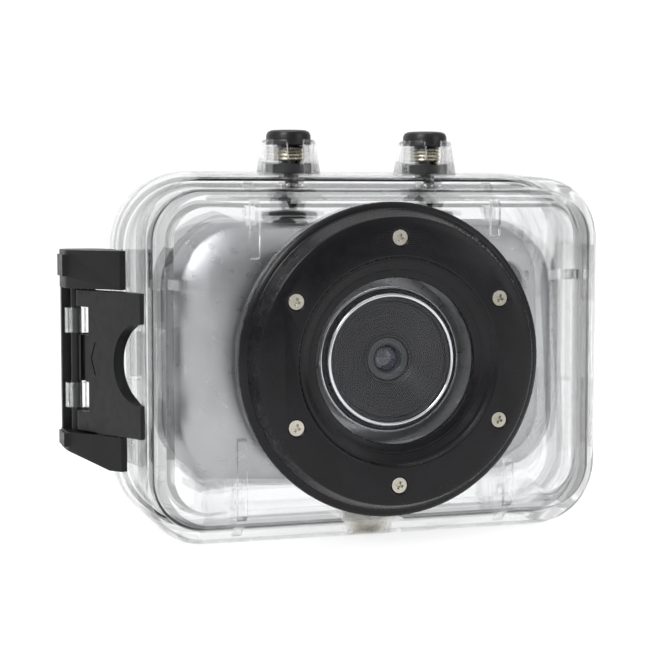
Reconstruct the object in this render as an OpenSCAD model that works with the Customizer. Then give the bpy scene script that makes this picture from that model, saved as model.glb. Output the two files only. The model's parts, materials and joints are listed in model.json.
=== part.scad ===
// Waterproof action camera: a compact camera inside a clear hinged housing.
// Origin: mouth of the tripod socket in the bottom face. Front (lens) is -Y, up is +Z.

/* [Housing] */
// Half the housing's width at the split between the shell and the rear door
case_half_w = 38.2; // [36:0.1:42]
// Height of the housing
case_h = 56.6; // [54:0.1:60]
// Corner radius of the housing's outline at the split
case_corner_r = 12; // [8:0.5:14]
// Y of the plane where the shell meets the rear door
split_y = 9.2; // [8.8:0.1:9.6]
// Y of the back face of the rear door
door_back_y = 15; // [14.6:0.1:17]
// Y of the front face of the raised panel
panel_y = -10; // [-10.2:0.1:-9.8]
// Y of the ledge around the raised panel
ledge_y = -6.5; // [-7:0.1:-6.2]
// Wall thickness of the housing
wall = 1.8; // [1.6:0.1:2]

/* [Lens port] */
// Height of the lens axis above the bottom face
port_z = 28; // [27.5:0.1:28.5]
// Y of the front face of the port ring
ring_face_y = -16; // [-16.5:0.1:-15.5]
// Radius of the circle that the six screws lie on
screw_circle_r = 18.5; // [18.3:0.1:18.8]
// Outer radius of the clear collar around the port ring
collar_r = 23.85; // [23.5:0.05:24.2]

/* [Push buttons] */
// Distance of each plunger from the middle plane
plunger_x = 11.4; // [11:0.1:12]
// Y of the plungers
plunger_y = 4; // [3.5:0.1:4.5]
// How far a plunger and the camera button under it travel
button_travel = 1; // [0.6:0.1:1]

/* [Hinge and latch] */
// X of the door's hinge pin
hinge_x = 40.6; // [40.4:0.1:40.8]
// Y of the door's hinge pin
hinge_y = 12; // [11.8:0.1:12.2]
// Radius of the door's hinge pin
hinge_pin_r = 1; // [0.8:0.05:1.1]
// Radius of the hinge knuckles
knuckle_r = 2.3; // [2.1:0.05:2.4]
// X of the pin that holds the latch frame in the door's lugs
latch_x = -44.4; // [-44.6:0.1:-44.2]
// Y of the pin that holds the latch frame in the door's lugs
latch_y = 7.5; // [7.3:0.1:7.7]

/* [Camera] */
// Half the width of the camera body
cam_half_w = 31; // [30:0.1:31.2]
// Z of the underside of the camera body
cam_z0 = 7.8; // [7.6:0.1:8.2]
// Z of the top of the camera body
cam_z1 = 49; // [48.6:0.1:49]
// Y of the front face of the camera body
cam_front_y = -5.4; // [-5.6:0.1:-5.2]
// Y of the back face of the camera body
cam_back_y = 11.4; // [11:0.1:11.6]

/* [Hidden] */

slab_t = 0.02;
thread_r = 2.55;
thread_depth = 5;
insert_r = 3.6;
fit = 0.05;
$fn = 64;

case_mid_z = case_h / 2;
panel_back_y = panel_y + 2.2;
collar_front_y = ring_face_y + 4.3;
cam_split_y = 3;
cam_wall = 1.4;
port_hole_r = 13;
boss_r = 4.7;
stem_boss_r = 1.97;
saddle_x = 23;
window_r = 16.5;
window_y = ring_face_y + 1.9;
window_t = 1.2;
spigot_r = [20.5, 23];
spigot_y = -9.8;
lens_y = -12.2;

guard_top_z = port_z + 33.4;
cap_top_z = port_z + 34.9;
top_wall_z = case_h - 0.5;
cap_under_z = cap_top_z - 2.4;
washer_top_z = port_z + 29.65;
cap_boss_z = washer_top_z + button_travel + 0.45;
foot_z = port_z + 21.6;

lever_pivot = [latch_x + 0.95, latch_y - 2];
lever_tip = [-37.75, -9];
lever_barrel_r = 1.2;
lever_reach = norm(lever_tip - lever_pivot);
lever_angle = atan2(lever_tip[1] - lever_pivot[1], lever_tip[0] - lever_pivot[0])
    + asin(lever_barrel_r / lever_reach);
lever_len = sqrt(lever_reach * lever_reach - lever_barrel_r * lever_barrel_r);
lever_z = [port_z - 11, port_z + 10.4];
block_z = [[port_z - 16.5, port_z - 11.3], [port_z + 10.7, port_z + 16.5]];
lug_z = [[port_z - 7.7, port_z - 3.9], [port_z + 3.8, port_z + 7.6]];
lug_r = 1.7;
latch_pin_r = 0.8;
latch_pin_z = [block_z[0][0] + 2.4, block_z[1][1] - 1.05];
lever_pin_r = 0.6;

shell_knuckle_z = [[port_z - 16.9, port_z - 6.2], [port_z + 7.2, port_z + 16.6]];
door_knuckle_z = [port_z - 5.9, port_z + 6.9];

clear = [0.86, 0.9, 0.92, 0.4];
black = [0.1, 0.1, 0.11];
silver = [0.72, 0.72, 0.74];
steel = [0.6, 0.6, 0.62];

// ---------- shared shapes ----------

module rounded_rect(w, h, r) {
    square([w - 2 * r, h], center = true);
    square([w, h - 2 * r], center = true);
    for (sx = [-1, 1], sz = [-1, 1])
        translate([sx * (w / 2 - r), sz * (h / 2 - r)]) circle(r);
}

// Rounded plate across X and Z, from y0 back to y1
module plate(half_w, z0, z1, r, y0, y1) {
    translate([0, y1, (z0 + z1) / 2])
        rotate([90, 0, 0])
            linear_extrude(y1 - y0) rounded_rect(2 * half_w, z1 - z0, r);
}

// Thin slab used as one station of a hull
module station(half_w, z0, z1, r, y) {
    plate(half_w, z0, z1, r, y, y + slab_t);
}

module box(x0, x1, y0, y1, z0, z1) {
    translate([x0, y0, z0]) cube([x1 - x0, y1 - y0, z1 - z0]);
}

// Cylinder along Y from y0 back to y1, centred on the lens axis unless moved
module y_cyl(r, y0, y1, x = 0, z = port_z) {
    translate([x, y1, z]) rotate([90, 0, 0]) cylinder(r = r, h = y1 - y0);
}

module z_cyl(r, z0, z1, x, y) {
    translate([x, y, z0]) cylinder(r = r, h = z1 - z0);
}

// Ring about the lens axis from a profile of [radius, y] points
module lens_ring(profile) {
    translate([0, 0, port_z])
        rotate([-90, 0, 0])
            rotate_extrude($fn = 128) polygon(profile);
}

// Turned part about a plunger's axis, from a profile of [radius, z] points
module plunger_turned(x, profile) {
    translate([x, plunger_y, 0]) rotate_extrude() polygon(profile);
}

module at_screws() {
    for (i = [0:5])
        translate([screw_circle_r * sin(60 * i), 0, port_z + screw_circle_r * cos(60 * i)]) children();
}

// ---------- clear housing ----------

module shell_outside() {
    hull() {
        station(33, case_mid_z - 23.6, case_mid_z + 23.6, 6, panel_y);
        station(34.1, case_mid_z - 24.5, case_mid_z + 24.5, 6.8, panel_y + 0.5);
        station(34.9, case_mid_z - 25.2, case_mid_z + 25.2, 7.5, panel_y + 1.8);
        station(35.2, case_mid_z - 25.5, case_mid_z + 25.5, 8, ledge_y + 0.2);
    }
    hull() {
        station(case_half_w - 1.9, 1.1, case_h - 1.4, 9, ledge_y);
        station(case_half_w - 1.3, 0.6, case_h - 1.1, 9.5, ledge_y + 0.5);
        station(case_half_w - 1.15, 0, case_h - 1, 10, ledge_y + 2);
        station(case_half_w, 0, case_h, case_corner_r, split_y - slab_t);
    }
}

module shell_inside() {
    step_y = ledge_y + wall;
    hull() {
        station(32.4, case_mid_z - 22.6, case_mid_z + 22.6, 5, panel_back_y);
        station(33, case_mid_z - 23.2, case_mid_z + 23.2, 5.6, step_y);
    }
    hull() {
        station(case_half_w - 3, 1.9, case_h - 2.8, 8.2, step_y);
        station(case_half_w - wall, wall, case_h - wall, case_corner_r - wall, split_y + 0.5);
    }
}

// Stiffening rib on the front, from the port out to the ledge. It is drawn for the top middle
// and turned about the lens axis; span = [inner, panel edge, outer edge] from the lens axis.
module front_rib(span) {
    rib_w = 1.5;
    rotate([90, 0, 90])
        translate([0, 0, -rib_w / 2])
            linear_extrude(rib_w)
                polygon([[panel_y + 0.5, span[0]], [panel_y - 0.9, span[0] + 0.6],
                         [panel_y - 0.9, span[1] - 0.6], [ledge_y - 1, span[2] - 1.2],
                         [ledge_y + 0.2, span[2] - 0.3], [ledge_y + 0.6, span[1]]]);
}

module front_ribs() {
    translate([-20.8, 0, port_z]) front_rib([15, 23.9, 27.2]);
    translate([17.5, 0, port_z]) front_rib([18, 23.9, 27.2]);
    translate([-22.8, 0, port_z]) mirror([0, 0, 1]) front_rib([11, 23.4, 27]);
    translate([20, 0, port_z]) mirror([0, 0, 1]) front_rib([16, 23.4, 27]);
    translate([0, 0, port_z + 11.6]) rotate([0, -90, 0]) front_rib([22.9, 33, 36.2]);
    translate([0, 0, port_z + 12.4]) rotate([0, 90, 0]) front_rib([22.4, 33, 36.2]);
}

// Guard collar round a plunger, drawn solid
module button_guard(x) {
    plunger_turned(x, [[0, top_wall_z - 0.4], [5.15, top_wall_z - 0.4], [4.4, guard_top_z - 1],
                       [4.3, guard_top_z - 0.35], [4.02, guard_top_z], [0, guard_top_z]]);
}

// The guard's hollow, down to the flat that the washer lies on, and its two slots
module guard_hollow(x) {
    slot_r = 1.3;
    slot_z = top_wall_z + 2.6;
    plunger_turned(x, [[0, top_wall_z], [4.05, top_wall_z], [3.75, guard_top_z - 0.6],
                       [3.75, guard_top_z + 1], [0, guard_top_z + 1]]);
    translate([x, plunger_y, 0]) {
        box(-slot_r, slot_r, -6, 6, slot_z, guard_top_z + 1);
        translate([0, 6, slot_z]) rotate([90, 0, 0]) cylinder(r = slot_r, h = 12);
    }
}

module shell_knuckles() {
    for (z = shell_knuckle_z) {
        z_cyl(knuckle_r, z[0], z[1], hinge_x, hinge_y);
        box(hinge_x - 1.6, hinge_x + knuckle_r, split_y - 2.7, hinge_y, z[0], z[1]);
        box(hinge_x - 3.9, hinge_x, split_y - 3.7, split_y - 0.5, z[0], z[1]);
    }
}

module front_shell() {
    color(clear)
    difference() {
        union() {
            difference() {
                shell_outside();
                shell_inside();
            }
            y_cyl(collar_r, collar_front_y, panel_y + 0.5);
            front_ribs();
            shell_knuckles();
            for (s = [-1, 1]) {
                button_guard(s * plunger_x);
                z_cyl(stem_boss_r, port_z + 24.8, top_wall_z, s * plunger_x, plunger_y);
                box(s * saddle_x - 1.7, s * saddle_x + 1.7, 1.5, 6, wall - 0.5, cam_z0 - 0.1);
            }
            z_cyl(boss_r, 0, cam_z0 - 0.6, 0, 0);
        }
        y_cyl(port_hole_r, collar_front_y - 1, panel_back_y + 1);
        lens_ring([[spigot_r[0] - fit, collar_front_y - 1], [spigot_r[1] + fit, collar_front_y - 1],
                   [spigot_r[1] + fit, spigot_y + 0.1], [spigot_r[0] - fit, spigot_y + 0.1]]);
        at_screws() y_cyl(0.62, collar_front_y - 0.5, panel_y + 1.2, 0, 0);
        z_cyl(insert_r + fit, -1, 6, 0, 0);
        for (s = [-1, 1]) {
            z_cyl(1.15, port_z + 24, top_wall_z, s * plunger_x, plunger_y);
            guard_hollow(s * plunger_x);
            z_cyl(1.6, top_wall_z - 1.6, top_wall_z + 0.5, s * plunger_x, plunger_y);
        }
        z_cyl(hinge_pin_r + fit, port_z - 17.5, port_z + 17, hinge_x, hinge_y);
    }
}

module lens_port_ring() {
    back_y = collar_front_y - 0.01;
    color(black)
    difference() {
        lens_ring([[15.8, ring_face_y], [20.4, ring_face_y], [21.6, ring_face_y + 0.45],
                   [22.8, ring_face_y + 3], [23.3, ring_face_y + 3.1],
                   [23.8, ring_face_y + 3.5], [23.8, back_y], [spigot_r[1], back_y], [spigot_r[1], spigot_y],
                   [spigot_r[0], spigot_y], [spigot_r[0], back_y], [window_r + fit, back_y],
                   [window_r + fit, window_y], [12.5, window_y], [12.5, window_y - 0.25],
                   [13.6, window_y - 0.7], [13.9, window_y - 0.7], [15, ring_face_y + 0.6],
                   [15.3, ring_face_y + 0.6]]);
        at_screws() {
            y_cyl(0.75, ring_face_y - 1, panel_y + 1, 0, 0);
            translate([0, ring_face_y - 0.01, 0])
                rotate([-90, 0, 0]) cylinder(r1 = 1.4, r2 = 0.75, h = 1);
        }
    }
}

module port_screws() {
    head_top_y = ring_face_y + 0.12;
    slot_len = 0.62;
    slot_w = 0.18;
    slot_floor_y = head_top_y + 0.55;
    color(steel)
    at_screws() difference() {
        union() {
            translate([0, head_top_y, 0]) rotate([-90, 0, 0]) cylinder(r1 = 1.2, r2 = 0.65, h = 0.95);
            y_cyl(0.55, head_top_y + 0.8, panel_y + 1, 0, 0);
        }
        for (a = [20, 110])
            rotate([0, a, 0]) box(-slot_len, slot_len, head_top_y - 1, slot_floor_y, -slot_w, slot_w);
    }
}

module port_window() {
    color([0.8, 0.88, 0.92, 0.35]) y_cyl(window_r, window_y, window_y + window_t);
}

module port_gasket() {
    gasket_y = window_y + window_t;
    color(black)
    lens_ring([[13.1, gasket_y], [window_r, gasket_y], [window_r, collar_front_y], [13.1, collar_front_y]]);
}

module tripod_insert() {
    color(steel)
    difference() {
        z_cyl(insert_r, 0, 5.9, 0, 0);
        z_cyl(thread_r, -1, thread_depth, 0, 0);
    }
}

// ---------- rear door ----------

door_seat_y = split_y + fit + 0.55;
gasket_in = 0.9;

// Belt that follows the housing's outline, inset from it and w wide
module edge_belt(inset, w, y0, y1) {
    inner = inset + w;
    difference() {
        plate(case_half_w - inset, inset, case_h - inset, case_corner_r - inset, y0, y1);
        plate(case_half_w - inner, inner, case_h - inner, case_corner_r - inner, y0 - 1, y1 + 1);
    }
}

module door_lugs() {
    for (z = lug_z) {
        z_cyl(lug_r, z[0], z[1], latch_x, latch_y);
        box(latch_x, -38.5, latch_y - lug_r, latch_y + 0.6, z[0], z[1]);
        box(-40.4, -38.5, latch_y - lug_r, door_back_y - 1, z[0], z[1]);
        box(-40.4, -37, split_y + 1.3, door_back_y - 1, z[0], z[1]);
    }
}

module rear_door() {
    color(clear)
    difference() {
        union() {
            hull() {
                plate(case_half_w, 0, case_h, case_corner_r, door_seat_y, door_back_y - 2.2);
                station(case_half_w - 0.6, 0.6, case_h - 0.6, case_corner_r - 0.6, door_back_y - 0.9);
                station(case_half_w - 2.4, 2.4, case_h - 2.4, case_corner_r - 2.4, door_back_y - slab_t);
            }
            plate(35.7, wall + 0.6, case_h - wall - 0.6, 9.4, split_y - 1.6, door_seat_y + 1);
            z_cyl(knuckle_r, door_knuckle_z[0], door_knuckle_z[1], hinge_x, hinge_y);
            box(36, hinge_x, door_seat_y, hinge_y + knuckle_r, door_knuckle_z[0], door_knuckle_z[1]);
            door_lugs();
        }
        plate(34, cam_z0 - 3.2, case_h - 4.2, 7.8, split_y - 2, door_back_y - wall);
        edge_belt(gasket_in, 0.7, door_seat_y - 1, door_seat_y + 0.8);
        for (z = shell_knuckle_z)
            z_cyl(knuckle_r + 0.3, z[0] - 0.3, z[1] + 0.3, hinge_x, hinge_y);
        z_cyl(hinge_pin_r + fit, port_z - 20, port_z + 20, hinge_x, hinge_y);
        z_cyl(latch_pin_r + fit, port_z - 10, port_z + 10, latch_x, latch_y);
    }
}

module door_gasket() {
    color(black) edge_belt(gasket_in + 0.02, 0.66, split_y + fit, door_seat_y + 0.78);
}

module hinge_pin() {
    color(steel) z_cyl(hinge_pin_r, port_z - 17.3, port_z + 16.9, hinge_x, hinge_y);
}

// ---------- latch ----------

module in_lever_frame() {
    translate([lever_pivot[0], lever_pivot[1], 0]) rotate([0, 0, lever_angle]) children();
}

// Plan of the frame's end blocks: a wedge in front, a round back that clears the door
module block_plan() {
    intersection() {
        polygon([[-38.65, -3.2], [-39.6, -3.4], [-46.1, 4.6], [-46.4, 5.6], [-46.4, 10.6],
                 [-45.2, 12.2], [-38.65, 12.6]]);
        union() {
            translate([latch_x, latch_y]) circle(5.6);
            translate([-50, -5]) square([14, 5 + latch_y]);
        }
    }
}

module latch_frame() {
    bar_x = [latch_x - 1.9, latch_x - 0.3];
    bar_y = [latch_y + 2, latch_y + 3.2];
    web_x = latch_x + 3.4;
    color(black)
    difference() {
        union() {
            for (z = block_z)
                translate([0, 0, z[0]]) linear_extrude(z[1] - z[0]) block_plan();
            box(bar_x[0], bar_x[1], bar_y[0], bar_y[1], block_z[0][1] - 1, block_z[1][0] + 1);
            for (z = [[block_z[0][1] - 1, lug_z[0][0] - 0.3], [lug_z[0][1] + 0.3, lug_z[1][0] - 0.3],
                      [lug_z[1][1] + 0.3, block_z[1][0] + 1]])
                box(bar_x[1] - 0.1, web_x, bar_y[0], bar_y[1], z[0], z[1]);
            for (z = [[block_z[0][0] + 3, block_z[0][1] - 0.1], [block_z[1][0] + 1.8, block_z[1][0] + 5.1]])
                box(-46.9, -46, 4.5, 9.5, z[0], z[1]);
        }
        z_cyl(latch_pin_r + fit / 2, latch_pin_z[0] - 0.05, latch_pin_z[1] + 0.05, latch_x, latch_y);
        z_cyl(lever_pin_r + fit / 2, block_z[0][0] + 1.5, block_z[1][1] - 1.5,
              lever_pivot[0], lever_pivot[1]);
        translate([-46.9, 0, block_z[0][0] + 2.6])
            rotate([0, 24, 0]) box(-3, 12, -5, 14, -6, 0);
    }
}

module latch_lever() {
    notch_z = [lug_z[0][0] - 0.3, lug_z[1][1] + 0.3];
    notch_len = 2.7;
    inner_face = 0.7;
    scallop_r = 6;
    color(black)
    difference() {
        in_lever_frame() {
            z_cyl(lever_barrel_r, lever_z[0], lever_z[1], 0, 0);
            translate([0, 0, lever_z[0]])
                linear_extrude(lever_z[1] - lever_z[0])
                    polygon([[0, -lever_barrel_r], [lever_len, -lever_barrel_r], [lever_len, -0.4],
                             [lever_len - 3.2, inner_face], [0, inner_face]]);
            for (z = [lever_z[0], lever_z[1] - 1.1])
                box(1, lever_len - 6, 0, 1.2, z, z + 1.1);
        }
        in_lever_frame() {
            for (z = lug_z) box(-2, notch_len, -3, 3, z[0] - 0.3, z[1] + 0.3);
            box(-2, notch_len, -3, -0.3, notch_z[0], notch_z[1]);
            translate([lever_len - 0.5, 3, port_z - 0.1]) rotate([90, 0, 0]) cylinder(r = scallop_r, h = 6);
            z_cyl(lever_pin_r + fit, lever_z[0] - 1, lever_z[1] + 1, 0, 0);
            chevron_groove();
        }
    }
}

// Shallow chevron cut into the lever's outer face, pointing at its pivot
module chevron_groove() {
    for (s = [-1, 1])
        translate([3.4, -lever_barrel_r - 0.5, port_z + 0.2])
            rotate([0, -s * 68, 0]) box(0, 2.7, 0, 0.7, -0.12, 0.12);
}

module latch_pin() {
    color(steel) z_cyl(latch_pin_r, latch_pin_z[0], latch_pin_z[1], latch_x, latch_y);
}

module lever_pins() {
    color(steel) {
        z_cyl(lever_pin_r, block_z[0][0] + 1.55, lug_z[0][0] - 0.5, lever_pivot[0], lever_pivot[1]);
        z_cyl(lever_pin_r, lug_z[1][1] + 0.5, block_z[1][1] - 1.55, lever_pivot[0], lever_pivot[1]);
    }
}

// ---------- plungers ----------

module plunger_cap(x) {
    color(black)
    plunger_turned(x, [[0, cap_top_z], [2.7, cap_top_z], [3.25, cap_top_z - 0.25],
                       [3.5, cap_top_z - 0.8], [3.5, cap_under_z], [1.75, cap_under_z],
                       [1.75, cap_boss_z], [1.05, cap_boss_z], [1.05, cap_top_z - 0.6],
                       [0, cap_top_z - 0.6]]);
}

module plunger_stem(x) {
    color(black)
    plunger_turned(x, [[0, cap_top_z - 0.6], [1.03, cap_top_z - 0.6], [1.03, port_z + 24.6],
                       [1.65, port_z + 24.3], [1.65, port_z + 23.9], [1.2, port_z + 22.9],
                       [1.2, port_z + 22.6], [0, port_z + 22.6]]);
}

module plunger_foot(x) {
    color(black)
    plunger_turned(x, [[0, foot_z + 1], [1.2, foot_z + 1], [4.1, foot_z + 0.75],
                       [4.4, foot_z + 0.5], [4.4, foot_z], [0, foot_z]]);
}

// Round wire wound into an open coil
module coil_spring(x, z0, z1, coil_r, wire_r, turns) {
    sides = 8;
    steps = 20 * turns;
    function ring_centre(i) = let (a = 360 * turns * i / steps)
        [coil_r * cos(a), coil_r * sin(a), z0 + wire_r + (z1 - z0 - 2 * wire_r) * i / steps];
    points = [for (i = [0:steps], k = [0:sides - 1])
        let (a = 360 * turns * i / steps, b = 360 * k / sides)
        ring_centre(i) + wire_r * [cos(b) * cos(a), cos(b) * sin(a), sin(b)]];
    walls = [for (i = [0:steps - 1], k = [0:sides - 1])
        let (n = (k + 1) % sides)
        [i * sides + k, i * sides + n, (i + 1) * sides + n, (i + 1) * sides + k]];
    first_cap = [for (k = [sides - 1:-1:0]) k];
    last_cap = [for (k = [0:sides - 1]) steps * sides + k];
    translate([x, plunger_y, 0])
        polyhedron(points, concat([first_cap], walls, [last_cap]));
}

module plunger_spring(x) {
    color([0.75, 0.68, 0.5]) coil_spring(x, washer_top_z + 0.02, cap_under_z - 0.02, 2.15, 0.27, 4);
}

module button_washers() {
    color(black)
    for (s = [-1, 1])
        difference() {
            z_cyl(3.6, top_wall_z, washer_top_z, s * plunger_x, plunger_y);
            z_cyl(1.15, top_wall_z - 1, washer_top_z + 1, s * plunger_x, plunger_y);
        }
}

module stem_seals() {
    color(black)
    for (s = [-1, 1], z = [top_wall_z - 1.2, top_wall_z - 0.45])
        translate([s * plunger_x, plunger_y, z])
            rotate_extrude() translate([1.34, 0]) circle(0.25, $fn = 24);
}

// ---------- camera body ----------

module camera_outside() {
    hull() {
        station(cam_half_w - 5.5, cam_z0 + 5.5, cam_z1 - 5.5, 9, cam_front_y);
        station(cam_half_w - 2.8, cam_z0 + 2.8, cam_z1 - 2.8, 9.5, cam_front_y + 0.6);
        station(cam_half_w - 0.9, cam_z0 + 0.9, cam_z1 - 0.9, 10, cam_front_y + 2.2);
        plate(cam_half_w, cam_z0, cam_z1, 10.4, cam_front_y + 5, cam_back_y - 3.2);
        station(cam_half_w - 0.9, cam_z0 + 0.9, cam_z1 - 0.9, 9.8, cam_back_y - 0.9);
        station(cam_half_w - 2.2, cam_z0 + 2.2, cam_z1 - 2.2, 9, cam_back_y - slab_t);
    }
}

module camera_inside() {
    hull() {
        station(cam_half_w - 5.5, cam_z0 + 5.5, cam_z1 - 5.5, 8, cam_front_y + cam_wall);
        plate(cam_half_w - 1.8, cam_z0 + 1.8, cam_z1 - 1.8, 9, cam_front_y + 4.4, cam_back_y - 3.4);
        station(cam_half_w - 3.6, cam_z0 + 3.6, cam_z1 - 3.6, 8, cam_back_y - cam_wall);
    }
}

window_disc_r = 3.7;
window_disc_x = 20.7;
window_disc_z = port_z + 10.9;
battery_len = 34;
base_cap_x = [-26, -7];

module camera_cuts() {
    for (s = [-1, 1]) {
        z_cyl(5, cam_z1 - 0.9, cam_z1 + 1, s * plunger_x, plunger_y);
        z_cyl(3, cam_z1 - 4, cam_z1 + 1, s * plunger_x, plunger_y);
    }
    y_cyl(10.5, cam_front_y - 2, cam_front_y + 4);
    y_cyl(window_disc_r + 0.03, cam_front_y - 2, cam_front_y + 4, window_disc_x, window_disc_z);
    box(base_cap_x[0], base_cap_x[1], 2, 10, cam_z0 - 1, cam_z0 + 1.1);
    box(cam_half_w - 2.4, cam_half_w + 1, 2.4, 6, port_z - 9.5, port_z - 1.5);
}

module camera_front_cover() {
    color(silver)
    difference() {
        camera_outside();
        camera_inside();
        camera_cuts();
        box(-50, 50, cam_split_y, 50, -10, 80);
    }
}

lcd_half = [17.5, 13];
lcd_x = -6;
key_x = 20;
key_z = [port_z + 9, port_z, port_z - 9];

module camera_rear_cover() {
    color([0.18, 0.18, 0.19])
    difference() {
        camera_outside();
        camera_inside();
        camera_cuts();
        box(-50, 50, -50, cam_split_y + 0.02, -10, 80);
        translate([lcd_x, 0, 0])
            box(-lcd_half[0], lcd_half[0], cam_back_y - 2, cam_back_y + 1,
                port_z - lcd_half[1], port_z + lcd_half[1]);
        for (z = key_z) y_cyl(2.1, cam_back_y - 3, cam_back_y + 1, key_x, z);
    }
}

// Round dark window in the camera's front, beside the lens
module front_window() {
    disc_y = [cam_front_y - 0.15, cam_front_y + 1.6];
    color(black)
    translate([window_disc_x, 0, window_disc_z])
        rotate([-90, 0, 0])
            rotate_extrude()
                polygon([[0, disc_y[0]], [window_disc_r - 0.3, disc_y[0]],
                         [window_disc_r, disc_y[0] + 0.3], [window_disc_r, disc_y[1]], [0, disc_y[1]]]);
}

module lens_bezel() {
    front_y = lens_y + 0.9;
    color(silver)
    lens_ring([[11.1, front_y + 0.15], [11.1, cam_front_y], [10.4, cam_front_y],
               [10.4, cam_front_y + 1.4], [9.6, cam_front_y + 1.4], [9.6, cam_front_y],
               [10.75, cam_front_y - 1], [10.75, front_y], [10.95, front_y]]);
}

// Dark ring that fills the gap between the bezel and the trim ring
module lens_sleeve() {
    color(black)
    lens_ring([[10.7, lens_y + 1.3], [10.7, lens_y + 3.4], [10.1, lens_y + 3.4], [10.1, lens_y + 1.3],
               [10.3, lens_y + 1.1], [10.5, lens_y + 1.1]]);
}

// Dark belt inside the shell's side walls, open at the tripod boss
module seal_band() {
    color(black)
    difference() {
        plate(35.1, 2.05, case_h - 2.95, 8, -4, 0.5);
        plate(34.7, 2.45, case_h - 3.35, 7.6, -5, 1);
        box(-5, 5, -6, 2, 0, 4);
    }
}

module lens_trim_ring() {
    color([0.8, 0.8, 0.8])
    lens_ring([[9.9, lens_y], [10.05, lens_y + 0.15], [10.05, lens_y + 2.5], [9.5, lens_y + 2.5],
               [9.5, lens_y + 0.2], [9.6, lens_y]]);
}

module lens_face() {
    color(black)
    lens_ring([[9.45, lens_y + 0.4], [9.45, lens_y + 2.9], [3.3, lens_y + 2.9],
               [3.3, lens_y + 1.8], [3.7, lens_y + 1.8], [4.1, lens_y + 1.5], [8.9, lens_y + 0.8],
               [9.0, lens_y + 0.4]]);
}

module aperture_plate() {
    color([0.75, 0.77, 0.8])
    lens_ring([[3.25, lens_y + 1.9], [3.25, lens_y + 2.9], [1.95, lens_y + 2.9], [2.25, lens_y + 1.9]]);
}

module front_lens() {
    dome_r = 3.4;
    front_y = lens_y + 3;
    color([0.4, 0.5, 0.6, 0.5])
    intersection() {
        y_cyl(3.2, front_y - 1, front_y + 1.3);
        translate([0, front_y + dome_r, port_z]) sphere(dome_r, $fn = 96);
    }
}

module lens_barrel() {
    front_y = lens_y + 3;
    color(black)
    lens_ring([[9.5, front_y], [9.5, front_y + 3.4], [4.6, front_y + 3.8], [4.6, 0.4],
               [3.4, 0.4], [3.4, front_y]]);
}

module rear_lens() {
    color([0.4, 0.5, 0.6, 0.5]) y_cyl(3.35, -5, -3.4);
}

module sensor_board() {
    color([0.05, 0.35, 0.15]) {
        box(-7, 7, 0.45, 1.45, port_z - 7, port_z + 7);
    }
    color([0.2, 0.2, 0.3]) box(-2.6, 2.6, -0.55, 0.45, port_z - 2, port_z + 2);
}

module main_board() {
    color([0.05, 0.35, 0.15])
    difference() {
        union() {
            box(-26, 24, 1.5, 2.5, port_z - 16, port_z + 16);
            for (p = [[-18, -9, 9], [14, 4, 7], [16, -8, 6]])
                box(p[0] - p[2] / 2, p[0] + p[2] / 2, 0.6, 1.5,
                    port_z + p[1] - p[2] / 2, port_z + p[1] + p[2] / 2);
        }
        for (sx = [-1, 1], sz = [-1, 1]) y_cyl(1, 1, 3, sx * 21.8, port_z + sz * 13.5);
    }
}

module battery() {
    color([0.15, 0.15, 0.5])
    box(lcd_x - battery_len / 2, lcd_x + battery_len / 2, 2.8, 7.4, port_z - 14, port_z + 13);
}

module lcd_panel() {
    color([0.1, 0.1, 0.12])
    translate([lcd_x, 0, 0])
        box(-lcd_half[0] + 0.1, lcd_half[0] - 0.1, cam_back_y - 3.4, cam_back_y - 1.5,
            port_z - lcd_half[1] + 0.1, port_z + lcd_half[1] - 0.1);
}

module lcd_window() {
    color([0.1, 0.12, 0.15, 0.5])
    translate([lcd_x, 0, 0])
        box(-lcd_half[0] + 0.1, lcd_half[0] - 0.1, cam_back_y - 1.4, cam_back_y - 0.15,
            port_z - lcd_half[1] + 0.1, port_z + lcd_half[1] - 0.1);
}

// Button under a plunger's foot: a crowned disc with a skirt that keeps it in the body
module camera_button(x) {
    top = foot_z - 0.1;
    color(steel)
    plunger_turned(x, [[0, top], [2.2, top], [2.8, top - 0.25], [2.95, top - 0.6],
                       [2.95, cam_z1 - 3.4], [0, cam_z1 - 3.4]]);
}

module menu_key(z) {
    color(steel)
    difference() {
        y_cyl(2, cam_back_y - 2.6, cam_back_y + 0.1, key_x, z);
        y_cyl(1.1, cam_back_y - 0.05, cam_back_y + 1, key_x, z);
    }
}

module base_cap() {
    color(silver)
    box(base_cap_x[0] + 0.1, base_cap_x[1] - 0.1, 2.1, 9.9, cam_z0, cam_z0 + 1);
}

module usb_socket() {
    x0 = cam_half_w - 6.4;
    color(steel)
    difference() {
        box(x0, cam_half_w - 0.6, 2.6, 5.8, port_z - 9.3, port_z - 1.7);
        box(x0 + 1, cam_half_w, 3.1, 5.3, port_z - 8.8, port_z - 2.2);
    }
}

module card_socket() {
    color(steel)
    difference() {
        box(12, 24, 2.6, 4.4, port_z - 15, port_z - 2);
        box(13, 23, 3, 4, port_z - 16, port_z - 3);
    }
}

module speaker() {
    speaker_x = key_x - 2.6;
    speaker_z = port_z - 12;
    color([0.3, 0.3, 0.3])
    difference() {
        y_cyl(4.5, 4.6, 7, speaker_x, speaker_z);
        y_cyl(1.4, 6.2, 8, speaker_x, speaker_z);
    }
}

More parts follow.
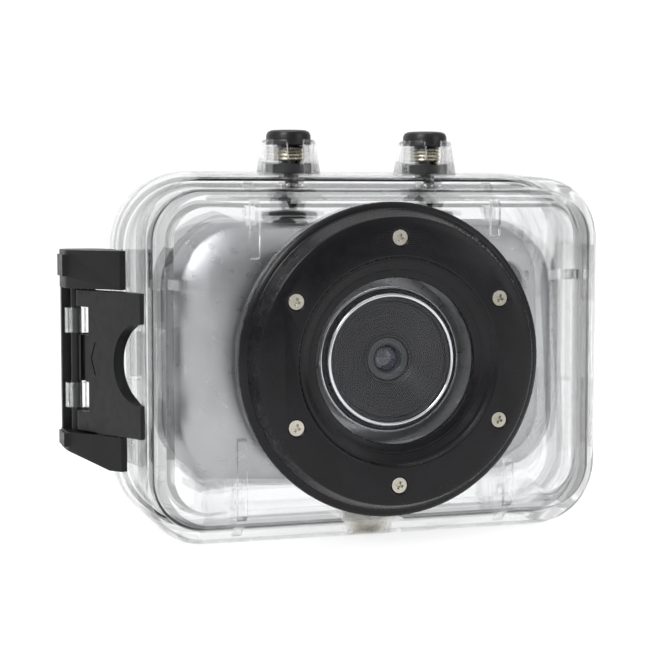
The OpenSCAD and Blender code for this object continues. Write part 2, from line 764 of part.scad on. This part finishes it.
front_shell();
lens_port_ring();
port_window();
port_gasket();
port_screws();
rear_door();
door_gasket();
seal_band();
hinge_pin();
latch_frame();
latch_lever();
latch_pin();
lever_pins();
tripod_insert();
button_washers();
stem_seals();
plunger_cap(-plunger_x);  // cap_left
plunger_stem(-plunger_x);  // stem_left
plunger_foot(-plunger_x);  // foot_left
plunger_spring(-plunger_x);  // spring_left
plunger_cap(plunger_x);  // cap_right
plunger_stem(plunger_x);  // stem_right
plunger_foot(plunger_x);  // foot_right
plunger_spring(plunger_x);  // spring_right
camera_front_cover();
camera_rear_cover();
front_window();
lens_bezel();
lens_sleeve();
lens_trim_ring();
lens_face();
aperture_plate();
front_lens();
lens_barrel();
rear_lens();
sensor_board();
main_board();
battery();
lcd_panel();
lcd_window();
camera_button(-plunger_x);  // power_button
camera_button(plunger_x);  // shutter_button
menu_key(key_z[0]);  // key_up
menu_key(key_z[1]);  // key_ok
menu_key(key_z[2]);  // key_down
base_cap();
usb_socket();
card_socket();
speaker();
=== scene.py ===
"""Looks of the action camera and its clear housing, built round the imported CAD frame."""

import json
import math

import bmesh
import bpy
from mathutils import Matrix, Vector


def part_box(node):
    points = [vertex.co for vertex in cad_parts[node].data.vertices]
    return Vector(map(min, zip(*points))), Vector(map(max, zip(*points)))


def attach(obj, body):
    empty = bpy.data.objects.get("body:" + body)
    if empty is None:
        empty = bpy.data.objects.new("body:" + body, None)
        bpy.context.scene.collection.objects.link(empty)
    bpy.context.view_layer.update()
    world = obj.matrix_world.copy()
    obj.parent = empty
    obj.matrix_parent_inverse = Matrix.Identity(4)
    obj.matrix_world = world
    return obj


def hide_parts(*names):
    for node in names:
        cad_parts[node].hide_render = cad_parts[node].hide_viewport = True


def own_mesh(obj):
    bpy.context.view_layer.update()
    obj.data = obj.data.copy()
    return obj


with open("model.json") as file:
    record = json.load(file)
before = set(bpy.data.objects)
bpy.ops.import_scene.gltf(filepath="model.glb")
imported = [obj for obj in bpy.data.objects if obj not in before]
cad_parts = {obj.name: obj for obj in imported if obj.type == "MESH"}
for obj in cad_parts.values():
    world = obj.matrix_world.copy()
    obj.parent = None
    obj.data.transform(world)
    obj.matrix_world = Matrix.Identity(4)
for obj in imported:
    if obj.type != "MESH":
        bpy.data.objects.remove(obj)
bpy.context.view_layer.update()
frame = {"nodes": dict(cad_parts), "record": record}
NODES = frame["nodes"]
BODY_OF = {n: b for b, names in frame["record"]["behaviour"]["bodies"].items() for n in names}
SLOT_OF = {s["node"]: s["material_slot"] for s in frame["record"]["subparts"]}

MM = 0.001
NOISE_LO, NOISE_HI = 0.3, 0.7  # the span in which most of a noise texture's values lie
SHARP_DEG = 28  # edges bent by more than this are softened
EDGE_WIDTH = 0.12 * MM
_ring_lo, _ring_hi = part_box("lens_port_ring")
PORT_Z = (_ring_lo.z + _ring_hi.z) / 2

scene = bpy.context.scene
scene.view_settings.view_transform = "Standard"


# ---------------------------------------------------------------- materials
class Tree:
    """Short names for building one material's node tree."""

    def __init__(self, name):
        self.mat = bpy.data.materials.new(name)
        self.mat.use_nodes = True
        self.nt = self.mat.node_tree
        self.nt.nodes.clear()
        self.out = self.node("ShaderNodeOutputMaterial")
        self.coords = self.node("ShaderNodeTexCoord").outputs["Object"]

    def node(self, kind, **props):
        n = self.nt.nodes.new(kind)
        for k, v in props.items():
            setattr(n, k, v)
        return n

    def link(self, a, b):
        self.nt.links.new(a, b)

    def noise(self, scale, detail=3.0):
        n = self.node("ShaderNodeTexNoise")
        n.inputs["Scale"].default_value = scale
        n.inputs["Detail"].default_value = detail
        self.link(self.coords, n.inputs["Vector"])
        return n.outputs["Fac"]

    def remap(self, value, lo, hi):
        n = self.node("ShaderNodeMapRange")
        spans = {"From Min": NOISE_LO, "From Max": NOISE_HI, "To Min": lo, "To Max": hi}
        for key, v in spans.items():
            n.inputs[key].default_value = v
        self.link(value, n.inputs["Value"])
        return n.outputs["Result"]

    def math(self, op, a, b=None):
        n = self.node("ShaderNodeMath", operation=op)
        for i, v in enumerate((a, b)):
            if v is None:
                continue
            if isinstance(v, (int, float)):
                n.inputs[i].default_value = v
            else:
                self.link(v, n.inputs[i])
        return n.outputs[0]

    def blend(self, factor, dark, light):
        n = self.node("ShaderNodeMix", data_type="RGBA")
        n.inputs[6].default_value = (*dark, 1)
        n.inputs[7].default_value = (*light, 1)
        self.link(factor, n.inputs[0])
        return n.outputs[2]

    def radius(self):
        """Distance from the lens axis, in metres."""
        sep = self.node("ShaderNodeSeparateXYZ")
        self.link(self.coords, sep.inputs[0])
        across = self.math("POWER", sep.outputs[0], 2.0)
        up = self.math("POWER", self.math("SUBTRACT", sep.outputs[2], PORT_Z), 2.0)
        return self.math("SQRT", self.math("ADD", across, up))

    def bump(self, height, distance):
        n = self.node("ShaderNodeBump")
        n.inputs["Distance"].default_value = distance
        n.inputs["Strength"].default_value = 1.0
        self.link(height, n.inputs["Height"])
        return n.outputs["Normal"]

    def principled(self, **values):
        n = self.node("ShaderNodeBsdfPrincipled")
        for key, v in values.items():
            socket = n.inputs[key.replace("_", " ")]
            if isinstance(v, bpy.types.NodeSocket):
                self.link(v, socket)
            elif isinstance(v, tuple):
                socket.default_value = (*v, 1)
            else:
                socket.default_value = v
        return n


def solid(name, dark, light, rough, metallic=0.0, grain=2500, grain_depth=0.00001, **more):
    """Moulded or painted surface: slow colour variation, uneven roughness and a fine grain."""
    t = Tree(name)
    mottle = 180
    slow = t.noise(mottle)
    fine = t.noise(grain, 4.0)
    shader = t.principled(
        Base_Color=t.blend(t.remap(slow, 0, 1), dark, light),
        Roughness=t.remap(t.noise(mottle * 4, 5.0), rough[0], rough[1]),
        Metallic=metallic,
        Normal=t.bump(fine, grain_depth),
        **more,
    )
    t.link(shader.outputs[0], t.out.inputs[0])
    return t.mat


def clear(name, tint, rough, ior, wave=0.00002, body=1.0):
    """Clear moulded plastic. Lamps reach through it."""
    t = Tree(name)
    glass = t.principled(
        Base_Color=tint,
        Roughness=rough,
        IOR=ior,
        Transmission_Weight=1.0,
        Alpha=body,
        Normal=t.bump(t.noise(90, 2.0), wave),
    )
    through = t.node("ShaderNodeBsdfTransparent")
    through.inputs["Color"].default_value = (0.93, 0.94, 0.95, 1)
    mix = t.node("ShaderNodeMixShader")
    t.link(t.node("ShaderNodeLightPath").outputs["Is Shadow Ray"], mix.inputs[0])
    t.link(glass.outputs[0], mix.inputs[1])
    t.link(through.outputs[0], mix.inputs[2])
    t.link(mix.outputs[0], t.out.inputs[0])
    return t.mat


def turned(name, dark, light, rough, metallic, pitch, depth, **more):
    """Lathe-turned surface: rings of the given pitch about the lens axis."""
    t = Tree(name)
    rings = t.math("SINE", t.math("MULTIPLY", t.radius(), 2 * math.pi / pitch))
    shader = t.principled(
        Base_Color=t.blend(t.remap(t.noise(160), 0, 1), dark, light),
        Roughness=t.remap(t.noise(700, 4.0), rough[0], rough[1]),
        Metallic=metallic,
        Normal=t.bump(rings, depth),
        **more,
    )
    t.link(shader.outputs[0], t.out.inputs[0])
    return t.mat


LOOK = {
    "clear": clear("clear_polycarbonate", (0.90, 0.91, 0.915), rough=0.03, ior=1.45, body=0.62),
    "window": clear("clear_window", (0.96, 0.97, 0.98), rough=0.0, ior=1.2, wave=0.000002),
    "black": solid(
        "black_plastic", (0.004, 0.004, 0.005), (0.009, 0.009, 0.011), (0.26, 0.40),
        Specular_IOR_Level=0.4,
    ),
    "latch": solid(
        "latch_plastic", (0.003, 0.003, 0.004), (0.008, 0.008, 0.009), (0.36, 0.52),
        grain_depth=0.00002, Specular_IOR_Level=0.3,
    ),
    "rubber": solid(
        "black_rubber", (0.006, 0.006, 0.007), (0.012, 0.012, 0.013), (0.5, 0.65),
        Specular_IOR_Level=0.3,
    ),
    "paint": solid(
        "silver_paint", (0.41, 0.41, 0.42), (0.48, 0.48, 0.49), (0.26, 0.35),
        metallic=0.9, grain=9000, grain_depth=0.000005,
    ),
    "satin": turned(
        "satin_aluminium", (0.70, 0.70, 0.72), (0.82, 0.82, 0.84), (0.14, 0.24),
        metallic=1.0, pitch=0.00012, depth=0.000003,
    ),
    "steel": solid(
        "screw_steel", (0.42, 0.40, 0.34), (0.60, 0.57, 0.50), (0.22, 0.36),
        metallic=1.0, grain=4000,
    ),
    "spring": solid(
        "spring_wire", (0.40, 0.37, 0.30), (0.62, 0.57, 0.46), (0.2, 0.34),
        metallic=1.0, grain=4000,
    ),
    "face": turned(
        "lens_face_black", (0.008, 0.008, 0.009), (0.016, 0.015, 0.018), (0.30, 0.42),
        metallic=0.0, pitch=0.00042, depth=0.00003, Specular_IOR_Level=0.35,
    ),
    "ring": turned(
        "port_ring_black", (0.002, 0.002, 0.003), (0.005, 0.004, 0.006), (0.22, 0.32),
        metallic=0.0, pitch=0.00030, depth=0.000003, Specular_IOR_Level=0.28,
    ),
    "pale": solid("aperture_grey", (0.020, 0.021, 0.024), (0.034, 0.036, 0.040), (0.3, 0.4)),
    "lens": clear("coated_glass", (0.62, 0.66, 0.80), rough=0.0, ior=1.7, wave=0.000001),
    "board": solid("circuit_board", (0.02, 0.14, 0.05), (0.04, 0.22, 0.09), (0.3, 0.45)),
    "wrap": solid("battery_wrap", (0.03, 0.04, 0.12), (0.05, 0.06, 0.18), (0.3, 0.42)),
    "screen": solid(
        "screen_glass", (0.008, 0.009, 0.012), (0.012, 0.014, 0.018), (0.04, 0.08),
        grain_depth=0.0,
    ),
}
BY_SLOT = {
    "clear_polycarbonate": "clear", "black_plastic": "black", "black_rubber": "rubber", "steel": "steel",
    "spring_steel": "spring", "silver_paint": "paint", "silver_metal": "satin",
    "pale_grey": "pale", "lens_glass": "lens", "circuit_board": "board", "battery_wrap": "wrap",
    "screen": "screen",
}
BY_NODE = {
    "port_window": "window", "lens_port_ring": "ring", "lens_face": "face",
    "latch_frame": "latch", "latch_lever": "latch", "latch_pin": "latch", "lever_pins": "latch",
}


# ---------------------------------------------------------------- pieces from the CAD shapes
def dress(node, edge):
    """The CAD node's own shape with welded vertices, softened edges and smooth shading."""
    source = NODES[node]
    mesh = source.data.copy()
    mesh.name = node + "_look"
    bm = bmesh.new()
    bm.from_mesh(mesh)
    bmesh.ops.remove_doubles(bm, verts=bm.verts, dist=0.000002)
    bmesh.ops.dissolve_limit(bm, angle_limit=math.radians(0.6), verts=bm.verts, edges=bm.edges)
    for f in bm.faces:
        f.smooth = True
    for e in bm.edges:
        if len(e.link_faces) == 2:
            e.smooth = e.calc_face_angle(0) < math.radians(SHARP_DEG)
    bm.to_mesh(mesh)
    bm.free()
    if "custom_normal" in mesh.attributes:
        mesh.attributes.remove(mesh.attributes["custom_normal"])
    obj = bpy.data.objects.new(node + "_look", mesh)
    scene.collection.objects.link(obj)
    mesh.materials.clear()
    mesh.materials.append(LOOK[BY_NODE.get(node, BY_SLOT[SLOT_OF[node]])])
    if edge:
        bevel = obj.modifiers.new("edges", "BEVEL")
        bevel.width = edge
        bevel.segments = 2
        bevel.limit_method = "ANGLE"
        bevel.angle_limit = math.radians(SHARP_DEG)
        bevel.use_clamp_overlap = True
        bevel.harden_normals = False
    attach(obj, BODY_OF[node])
    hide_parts(node)
    return obj


def shorten_with(obj):
    """Gives a coil spring piece its own copy of its mesh."""
    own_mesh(obj)


for _node in sorted(NODES):
    is_spring = _node.startswith("spring_")
    piece = dress(_node, edge=0 if is_spring else EDGE_WIDTH)
    if is_spring:
        shorten_with(piece)


# ---------------------------------------------------------------- floor, light, camera
def floor():
    """Pale sweep: a floor that curves up behind the object."""
    half, depth, rise, bend = 1.2, 0.9, 1.0, 0.35
    profile = [(-half, 0.0), (depth - bend, 0.0)]
    steps = 16
    for i in range(1, steps + 1):
        a = math.pi / 2 * i / steps
        profile.append((depth - bend + bend * math.sin(a), bend - bend * math.cos(a)))
    profile.append((depth, rise))
    bm = bmesh.new()
    rows = [[bm.verts.new((x, y, z)) for x in (-half, half)] for y, z in profile]
    for a, b in zip(rows, rows[1:]):
        bm.faces.new((a[0], a[1], b[1], b[0])).smooth = True
    mesh = bpy.data.meshes.new("sweep")
    bm.to_mesh(mesh)
    bm.free()
    paper = solid("sweep_paper", (0.26, 0.26, 0.26), (0.30, 0.30, 0.30), (0.8, 0.9),
                  Emission_Color=(1.0, 1.0, 1.0), Emission_Strength=0.80)
    mesh.materials.append(paper)
    obj = bpy.data.objects.new("sweep", mesh)
    scene.collection.objects.link(obj)


def lamp(name, location, target, size, power):
    data = bpy.data.lights.new(name, "AREA")
    data.shape = "RECTANGLE"
    data.size, data.size_y = size
    data.energy = power
    obj = bpy.data.objects.new(name, data)
    obj.location = location
    obj.rotation_euler = (Vector(target) - Vector(location)).to_track_quat("-Z", "Y").to_euler()
    scene.collection.objects.link(obj)


def surroundings():
    """A room that is dim in front of the object, bright overhead and brighter on the left than the right."""
    world = bpy.data.worlds.new("studio")
    world.use_nodes = True
    nt = world.node_tree
    back = nt.nodes["Background"]
    back.inputs[0].default_value = (1, 1, 1, 1)
    split = nt.nodes.new("ShaderNodeSeparateXYZ")
    nt.links.new(nt.nodes.new("ShaderNodeTexCoord").outputs["Generated"], split.inputs[0])
    level = None
    for axis, sign, gain in ((2, 1, 0.60), (0, -1, 0.45), (0, 1, 0.18)):
        part = nt.nodes.new("ShaderNodeMath")
        part.operation = "MULTIPLY"
        part.use_clamp = True
        part.inputs[1].default_value = sign * gain
        nt.links.new(split.outputs[axis], part.inputs[0])
        total = nt.nodes.new("ShaderNodeMath")
        total.operation = "ADD"
        nt.links.new(part.outputs[0], total.inputs[0])
        if level is None:
            total.inputs[1].default_value = 0.16
        else:
            nt.links.new(level, total.inputs[1])
        level = total.outputs[0]
    nt.links.new(level, back.inputs[1])
    scene.world = world


floor()
surroundings()
MIDDLE = (0, 0, 0.03)
lamp("key", (-0.42, -0.40, 0.50), MIDDLE, (0.30, 0.30), 2.2)
lamp("fill", (0.5, -0.5, 0.25), MIDDLE, (0.35, 0.45), 0.6)
lamp("top", (0.0, 0.1, 0.7), MIDDLE, (0.5, 0.4), 1.6)

CAMERA_AT = Vector((-85.04, -247.88, 51.83)) * MM
YAW, PITCH, LENS = 17.55, 4.24, 92.4
cam_data = bpy.data.cameras.new("view")
cam_data.lens = LENS
cam_data.sensor_width = 36
cam_data.clip_start, cam_data.clip_end = 0.01, 20
cam = bpy.data.objects.new("view", cam_data)
cam.location = CAMERA_AT
cam.rotation_euler = (math.radians(90 - PITCH), 0, -math.radians(YAW))
scene.collection.objects.link(cam)
scene.camera = cam
